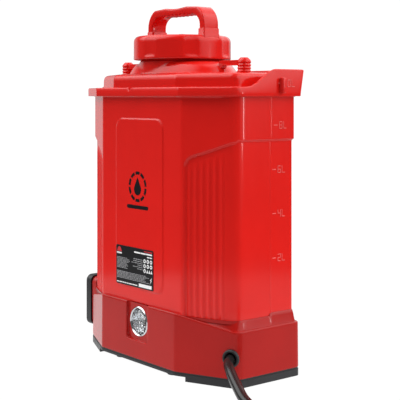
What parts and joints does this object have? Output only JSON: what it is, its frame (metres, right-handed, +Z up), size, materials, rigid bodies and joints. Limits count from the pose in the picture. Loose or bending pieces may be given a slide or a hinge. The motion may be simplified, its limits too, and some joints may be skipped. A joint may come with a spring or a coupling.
{
  "type": "backpack sprayer",
  "caption": "Battery backpack sprayer: octagonal moulded tank on a pump base, screw cap with carry handle, lamp, side control panel, shoulder straps and a coiled hose with a trigger handle.",
  "frame": {"origin": "on the floor under the middle of the base", "axes": "+Z up; -Y is the front with the lamp and label, +Y is the side against the wearer's back, +X is the side where the hose leaves"},
  "size_m": [0.7438, 0.251, 0.4935],
  "materials": {
    "tank_plastic": "gloss",
    "base_plastic": "gloss",
    "black_plastic": "satin",
    "black_rubber": "satin",
    "hose_rubber": "gloss",
    "lamp_chrome": "polished",
    "lens_clear": "clear",
    "circuit_board": "satin",
    "steel": "satin",
    "brass": "satin",
    "rocker_red": "gloss",
    "battery_case": "satin",
    "pump_plastic": "satin",
    "clear_tube": "satin",
    "label_film": "satin",
    "gauge_glass": "gloss",
    "wire_red": "satin",
    "strap_foam": "matte",
    "strap_webbing": "woven",
    "dark_metal": "satin"
  },
  "bodies": {
    "sprayer": {"tank": "tank_plastic", "tank_outlet": "black_plastic", "outlet_washer": "black_rubber", "strainer_basket": "black_plastic", "lance_hanger_left": "tank_plastic", "lance_hanger_right": "tank_plastic", "label_plate": "label_film", "base_housing": "base_plastic", "bottom_plate": "black_plastic", "rubber_feet": "black_rubber", "base_screws": "steel", "bracket_screws": "steel", "lamp_bezel": "lamp_chrome", "lamp_reflector": "lamp_chrome", "lamp_lens": "lens_clear", "lamp_board": "circuit_board", "control_panel": "black_plastic", "panel_screws": "dark_metal", "speed_potentiometer": "steel", "charge_socket": "black_plastic", "charge_gauge": "gauge_glass", "lamp_switch": "black_plastic", "hose_grommet": "black_rubber", "battery": "battery_case", "battery_clamp": "steel", "battery_leads": "wire_red", "pump_motor": "steel", "pump_head": "pump_plastic", "pump_bracket": "steel", "pressure_switch": "pump_plastic", "suction_hose": "clear_tube", "feed_hose": "hose_rubber", "spray_hose": "hose_rubber", "hose_coil": "hose_rubber", "hose_nut": "black_plastic", "spray_handle": "black_plastic", "trigger_pin": "steel", "lance_outlet": "brass", "strap_bracket_left": "black_plastic", "strap_bracket_right": "black_plastic", "shoulder_pad_left": "strap_foam", "shoulder_pad_right": "strap_foam", "strap_web_left": "strap_webbing", "strap_web_right": "strap_webbing", "strap_buckle_left": "black_plastic", "strap_buckle_right": "black_plastic", "strap_anchor_left": "steel", "strap_anchor_right": "steel"},
    "cap_seal": {"cap_gasket": "black_rubber"},
    "cap": {"cap": "tank_plastic", "cap_handle": "tank_plastic", "vent_valve": "black_rubber"},
    "power_rocker": {"power_rocker": "rocker_red"},
    "speed_knob": {"speed_knob": "black_plastic"},
    "charge_cap": {"charge_cap": "black_rubber"},
    "lamp_button": {"lamp_button": "black_plastic"},
    "pump_shaft": {"pump_shaft": "steel"},
    "trigger": {"trigger": "tank_plastic"}
  },
  "joints": [
    {"name": "cap_turn", "type": "hinge", "parent": "cap_seal", "child": "cap", "pos_m": [0, 0.008, 0.43], "axis": [0, 0, 1], "range_deg": [0, 720]},
    {"name": "cap_rise", "type": "slide", "parent": "sprayer", "child": "cap_seal", "axis": [0, 0, 1], "range_m": [0, 0.0121]},
    {"name": "rocker_tilt", "type": "hinge", "parent": "sprayer", "child": "power_rocker", "pos_m": [-0.19, -0.006, 0.074], "axis": [0, 1, 0], "range_deg": [0, 14]},
    {"name": "knob_turn", "type": "hinge", "parent": "sprayer", "child": "speed_knob", "pos_m": [-0.19, 0.03, 0.07], "axis": [-1, 0, 0], "range_deg": [0, 270]},
    {"name": "charge_cap_swing", "type": "hinge", "parent": "sprayer", "child": "charge_cap", "pos_m": [-0.1933, -0.006, 0.05], "axis": [0, 1, 0], "range_deg": [0, 100]},
    {"name": "lamp_button_press", "type": "slide", "parent": "sprayer", "child": "lamp_button", "axis": [1, 0, 0], "range_m": [0, 0.002], "stiffness_N_per_m": 300},
    {"name": "pump_spin", "type": "hinge", "parent": "sprayer", "child": "pump_shaft", "pos_m": [0.105, 0.03, 0.04], "axis": [0, 1, 0], "continuous": true},
    {"name": "trigger_pull", "type": "hinge", "parent": "sprayer", "child": "trigger", "pos_m": [0.53514, 0.02525, 0.01813], "axis": [-0.0666, -0.1415, -0.9877], "range_deg": [0, 9], "stiffness_Nm_per_rad": 0.6}
  ],
  "couplings": [
    {"joint": "cap_rise", "follows": "cap_turn", "m_per_rad": 0.00095493}
  ]
}
